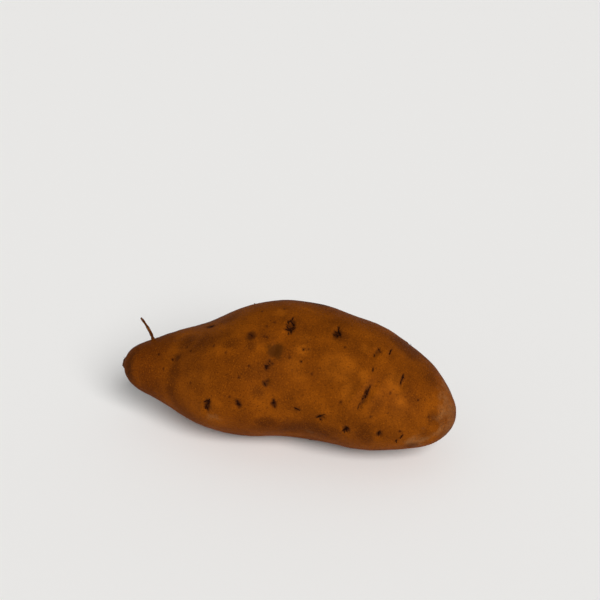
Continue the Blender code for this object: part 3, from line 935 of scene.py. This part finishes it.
def thread_mesh(paths, asides, thicks, slim, sides, knotty, seed):
    """Round threads along paths, many at once. Each thins by slim from its stout foot to its
    broken tip, and swells and shrinks by knotty. Asides are directions that no path follows."""
    count, rings, _ = paths.shape
    share = np.linspace(0, 1, rings)[None, :, None]
    heading = unit(np.gradient(paths, axis=1))
    side = unit(np.cross(heading, asides))
    other = np.cross(heading, side)
    turn = (np.arange(sides) * 2 * math.pi / sides)[:, None]
    outward = np.cos(turn) * side[:, :, None, :] + np.sin(turn) * other[:, :, None, :]
    knots = 1 + knotty * rough(paths, KNOT, seed)[..., None]
    radius = np.reshape(thicks, (-1, 1, 1)) / 2 * (THREAD_FOOT - slim * share) * knots
    tip = paths[:, -1] + heading[:, -1] * THREAD_TIP * radius[:, -1]
    foot = paths[:, 0] - heading[:, 0] * THREAD_TIP * radius[:, 0]
    points = (paths[:, :, None, :] + outward * radius[..., None]).reshape(count, -1, 3)
    points = np.concatenate((points, foot[:, None], tip[:, None]), axis=1)
    quads, fans = tube_faces(rings, sides)
    step = (np.arange(count) * (rings * sides + 2))[:, None, None]
    gaps = np.linalg.norm(np.diff(paths, axis=1, prepend=paths[:, :1]), axis=-1)
    gone = np.cumsum(gaps, axis=1) + FURTHER_ON * np.arange(count)[:, None]
    c, s = radius * np.cos(turn[:, 0]), radius * np.sin(turn[:, 0])
    grown = np.stack(np.broadcast_arrays(gone[..., None], c, s), axis=-1).reshape(count, -1, 3)
    grown = np.concatenate((grown, np.zeros((count, 2, 3))), axis=1).reshape(-1, 3) * MM
    faces = (quads + step).reshape(-1, 4), (fans + step).reshape(-1, 3)
    return points.reshape(-1, 3), faces, {"grown": grown, "bark": np.ones(len(grown))}


# How far each one bows along the root and sags round it, as shares of its length
SIDE_ROOT_BENDS = ((0.22, 0.12), (0.2, 0.3), (-0.2, 0.3), (0.0, -1.3))
for number, (x, degrees, length, thick, lean) in enumerate(SIDE_ROOTS):
    foot, along, around, out = frame_at(x, degrees)
    bow, sag = SIDE_ROOT_BENDS[number]
    aim = unit(out + bow * along)
    bend = -(lean + bow) * along + sag * around
    seed = SIDE_ROOT_SEED + number
    path = thread_paths([foot], [aim], [bend], [length], sunk=2.5, rings=40, seed=seed)
    thread = thread_mesh(*path, [SIDE_ROOT_FULL * thick], slim=0.5, sides=16, knotty=0.2, seed=seed + 1)
    grown_piece(f"side_root_{number}", *thread, root_bark)

# Fine rootlets: what is left of the hair roots in the eyes, brittle and dried near-black. Some
# stand a little out of the skin. They are drawn a third of a millimetre thick, so that they show.
dead_rootlet = grown_finish(
    "dead_dried_rootlet",
    (("ridges", 3.0, 0.3, 2.0, 0.6), ("flakes", 0.8, 0.4, 3.0, 0.6)),
    (),
    "#240e07",
    (("ridges", 0.50, 0.70, 0.70, "#120603"), ("flakes", 0.55, 0.72, 0.60, "#54290e")),
    (("ridges", 0.10), ("flakes", 0.08)),
    (0.65, ("flakes", 0.25)),
    MATT,
)

ROOTLET_THICK = 0.34
ROOTLET_SEED = 63
ROOTLETS_AN_EYE = (1, 2, 3)
OFF_EYE = 0.6
OFF_EYE_DEGREES = 2.0
ROOTLET_TILT = 1.2
ROOTLET_RISES = (0.25, 0.9)
ROOTLET_LENGTHS = (1.5, 4.0)
CLEAR_OF_TABLE = 2.0
draw = random.Random(ROOTLET_SEED)
rows = []
for x, degrees, _, _ in hidden_eyes():
    for _ in range(draw.choice(ROOTLETS_AN_EYE)):
        x_by = draw.uniform(-OFF_EYE, OFF_EYE)
        degrees_by = draw.uniform(-OFF_EYE_DEGREES, OFF_EYE_DEGREES)
        foot, along, around, out = frame_at(x + x_by, degrees + degrees_by)
        tilt = draw.uniform(-ROOTLET_TILT, ROOTLET_TILT)
        rise = draw.uniform(*ROOTLET_RISES)
        aim = unit(out * rise + along * draw.uniform(-1, 1) + around * tilt)
        reach = draw.uniform(*ROOTLET_LENGTHS)
        if foot[2] + reach * min(aim[2], 0) > CLEAR_OF_TABLE:
            rows.append((foot, aim, -0.5 * out + 0.3 * tilt * along, reach))
paths = thread_paths(*zip(*rows), sunk=0.8, rings=10, seed=71)
thicks = [ROOTLET_THICK] * len(rows)
rootlets = thread_mesh(*paths, thicks, slim=0.6, sides=6, knotty=0.3, seed=72)
grown_piece("rootlets", *rootlets, dead_rootlet)


def on_skin(x, degrees, u, v):
    """Points of the real skin u mm along the root and v mm round it from spots, and the ways
    out of it there."""
    turn, angle, small = station_turn(x), np.radians(degrees), 1e-3
    per_radian = skin(turn, angle + small) - skin(turn, angle - small)
    per_radian = np.linalg.norm(per_radian, axis=-1) / (2 * small)
    angle = angle + v / per_radian
    points, _, _, out = skin_frame(station_turn(x + u), angle)
    return points + out * skin_height(points, angle)[..., None], out


# Pressed rootlets and nubs: in the scars, dead rootlets lie in the thinner strokes and carry on
# a little past them, and the thicker strokes hold the snapped-off feet of side roots.
PRESSED_SEED = 65
PRESSED_RINGS = 14
PRESSED_SUNK = 0.14
PRESSED_BOW = 0.2
PRESSED_PAST = (0.0, 0.4)
# How far a pressed rootlet's tip lifts, or dips out of sight
TIP_LIFTS = (-0.3, 0.2, 0.7)
PRESSED_THICKS = (0.26, 0.42)
THIN_STROKE = 1.0
SHORT_STROKE = 1.1
DARK_STROKE = 0.15
NUB_HEIGHTS = (0.2, 0.6)
NUB_SHARE = 0.7
draw = random.Random(PRESSED_SEED)
pressed = []
nubs = []
for x, degrees, strokes in all_scars():
    clear = frame_at(x, degrees)[0][2] > CLEAR_OF_TABLE
    for u1, v1, u2, v2, width, faint in strokes:
        long = math.hypot(u2 - u1, v2 - v1)
        bow, past = draw.uniform(-PRESSED_BOW, PRESSED_BOW), draw.uniform(*PRESSED_PAST)
        tip, thick = draw.choice(TIP_LIFTS), draw.uniform(*PRESSED_THICKS)
        tall = draw.uniform(*NUB_HEIGHTS)
        if clear and width <= THIN_STROKE and long > SHORT_STROKE:
            pressed.append((x, degrees, u1, v1, u2 - u1, v2 - v1, bow, past, tip, thick))
        if clear and width >= THIN_STROKE and faint <= DARK_STROKE:
            nubs.append((x, degrees, (u1 + u2) / 2, (v1 + v2) / 2, tall, NUB_SHARE * width))
x, degrees, u, v, du, dv, bow, past, tip, thick = np.array(pressed).T[..., None]
share = np.linspace(0, 1, PRESSED_RINGS) * (1 + past)
bowed = bow * np.sin(math.pi * share)
points, out = on_skin(x, degrees, u + du * share + dv * bowed, v + dv * share - du * bowed)
points = points + out * (tip * np.clip(share, 0, 1) ** 4 - PRESSED_SUNK)[..., None]
threads = thread_mesh(points, out[:, :1], thick, slim=0.5, sides=6, knotty=0.3, seed=73)
grown_piece("pressed_rootlets", *threads, dead_rootlet)

x, degrees, u, v, tall, thick = np.array(nubs).T
feet, out = on_skin(x, degrees, u, v)
paths = thread_paths(feet, out, np.roll(out, 1, axis=1), tall, sunk=1.0, rings=8, seed=74)
root_nubs = thread_mesh(*paths, thick, slim=0.3, sides=10, knotty=0.5, seed=75)
grown_piece("root_nubs", *root_nubs, dead_rootlet)

# Torn fibres at the tail and the stem: the strands of the woody core, pulled out when they broke.
# How far from the middle they stand is a share of half the thickness.
FIBRE_SEED = 81
FIBRE_SPREADS = (0.10, 0.55)
FIBRE_LENGTHS = (0.5, 1.4)
FIBRE_THICKS = (0.16, 0.32)
draw = random.Random(FIBRE_SEED)
rows = []
for foot, aim, thick, tall, count in (
    (tail_foot, TAIL_AIM, TAIL_THICK, 0.5 * TAIL_LONG, 26),
    (stem_foot, stem_aim, STEM_THICK, 0.75 * STEM_LONG, 30),
):
    axis, side, other = axes_of(aim)
    for _ in range(count):
        turn = draw.uniform(0, math.tau)
        outward = math.cos(turn) * side + math.sin(turn) * other
        spread = draw.uniform(*FIBRE_SPREADS)
        bend = 0.5 * outward + 0.4 * np.cross(axis, outward) * draw.uniform(-1, 1)
        start = foot + axis * tall + outward * spread * thick / 2
        long, thick_here = draw.uniform(*FIBRE_LENGTHS), draw.uniform(*FIBRE_THICKS)
        rows.append((start, unit(axis + 0.5 * outward), bend, long, thick_here))
starts, aims, bends, lengths, thicks = zip(*rows)

# Torn root wood: straw-brown strands, with darker streaks and spots, and a dull sheen.
DULL = 0.5
root_wood = grown_finish(
    "torn_root_fibre",
    (("strands", 2.0, 0.15, 2.0, 0.6), ("spots", 0.6, 0.6, 2.0, 0.6)),
    (),
    "#8a5429",
    (("strands", 0.45, 0.65, 0.7, "#552e12"), ("spots", 0.55, 0.75, 0.6, "#331a0a")),
    (("strands", 0.06),),
    (0.55, ("spots", 0.30)),
    DULL,
)
paths = thread_paths(starts, aims, bends, lengths, sunk=0.5, rings=7, seed=91)
fibres = thread_mesh(*paths, thicks, slim=0.6, sides=5, knotty=0.2, seed=92)
grown_piece("torn_fibres", *fibres, root_wood)

# The floor is a plain pale sweep of matt paper, and isn't part of the root.
FLOOR_REACH = 6000.0
floor = new_piece(
    "floor",
    [(sx * FLOOR_REACH, sy * FLOOR_REACH, 0.0) for sy in (-1, 1) for sx in (-1, 1)],
    [np.array([(0, 1, 3, 2)])],
)
paper = bpy.data.materials.new("matt_paper")
paper.use_nodes = True
shader = paper.node_tree.nodes["Principled BSDF"]
shader.inputs["Base Color"].default_value = colour("#f6f5f3")
shader.inputs["Roughness"].default_value = 0.95
shader.inputs["Specular IOR Level"].default_value = 0.1
floor.data.materials.append(paper)

# Soft studio light: a white room whose walls are brighter low down, as pale as the floor that
# they meet, and one very wide far lamp at the front right.
WALL_LIGHT = 0.845
ROOM_LIGHT = 0.24
WALL_TOP = 0.05
ROOM_FROM = 0.45
LAMP_TURN = math.radians(38.0)
LAMP_RISE = math.radians(36.0)
LAMP_WIDTH = math.radians(35.0)
LAMP_LIGHT = 3.2
room = bpy.data.worlds.new("room")
room.use_nodes = True
outwards = add_node(room, "ShaderNodeTexCoord").outputs["Generated"]
rise = add_node(room, "ShaderNodeSeparateXYZ", links={"Vector": outwards}).outputs["Z"]
light = add_node(
    room, "ShaderNodeMapRange",
    {"From Min": WALL_TOP, "From Max": ROOM_FROM, "To Min": WALL_LIGHT, "To Max": ROOM_LIGHT},
    {"Value": rise}, interpolation_type="SMOOTHSTEP",
).outputs["Result"]
walls = room.node_tree.nodes["Background"]
walls.inputs["Color"].default_value = (1, 1, 1, 1)
room.node_tree.links.new(light, walls.inputs["Strength"])
scene.world = room
lamp_data = bpy.data.lights.new("wide_lamp", "SUN")
lamp_data.angle = LAMP_WIDTH
lamp_data.energy = LAMP_LIGHT
lamp = bpy.data.objects.new("wide_lamp", lamp_data)


def towards_spot(turn, rise):
    """The way from the root to a spot at this turn from the front and this rise."""
    return Vector((math.sin(turn) * math.cos(rise), -math.cos(turn) * math.cos(rise), math.sin(rise)))


towards = towards_spot(LAMP_TURN, LAMP_RISE)
lamp.location = towards
lamp.rotation_euler = (-towards).to_track_quat("-Z", "Y").to_euler()
scene.collection.objects.link(lamp)

# The camera stands where the photograph's did: in front, a little to the right, looking down.
# The seen middle is the spot of the root that shows at its pixel.
PICTURE = 600
LENS = 60.0
CAMERA_TURN = math.radians(14.0)
CAMERA_RISE = math.radians(25.0)
MM_PER_PIXEL = 0.521
SEEN_MIDDLE = Vector((-4.8, 0.0, 32.0)) * MM
SEEN_MIDDLE_PIXEL = (289, 376)
SENSOR = 36.0

camera_data = bpy.data.cameras.new("camera")
camera_data.lens = LENS
camera_data.sensor_width = SENSOR
distance = PICTURE * LENS / SENSOR * MM_PER_PIXEL * MM
back = towards_spot(CAMERA_TURN, CAMERA_RISE)
right = Vector((math.cos(CAMERA_TURN), math.sin(CAMERA_TURN), 0.0))
up = back.cross(right)
shift_right = (SEEN_MIDDLE_PIXEL[0] - PICTURE / 2) * MM_PER_PIXEL * MM
shift_down = (SEEN_MIDDLE_PIXEL[1] - PICTURE / 2) * MM_PER_PIXEL * MM
camera = bpy.data.objects.new("camera", camera_data)
camera.matrix_world = Matrix((right, up, back)).transposed().to_4x4()
camera.location = SEEN_MIDDLE + back * distance - right * shift_right + up * shift_down
scene.collection.objects.link(camera)
scene.camera = camera
scene.view_settings.view_transform = "Standard"
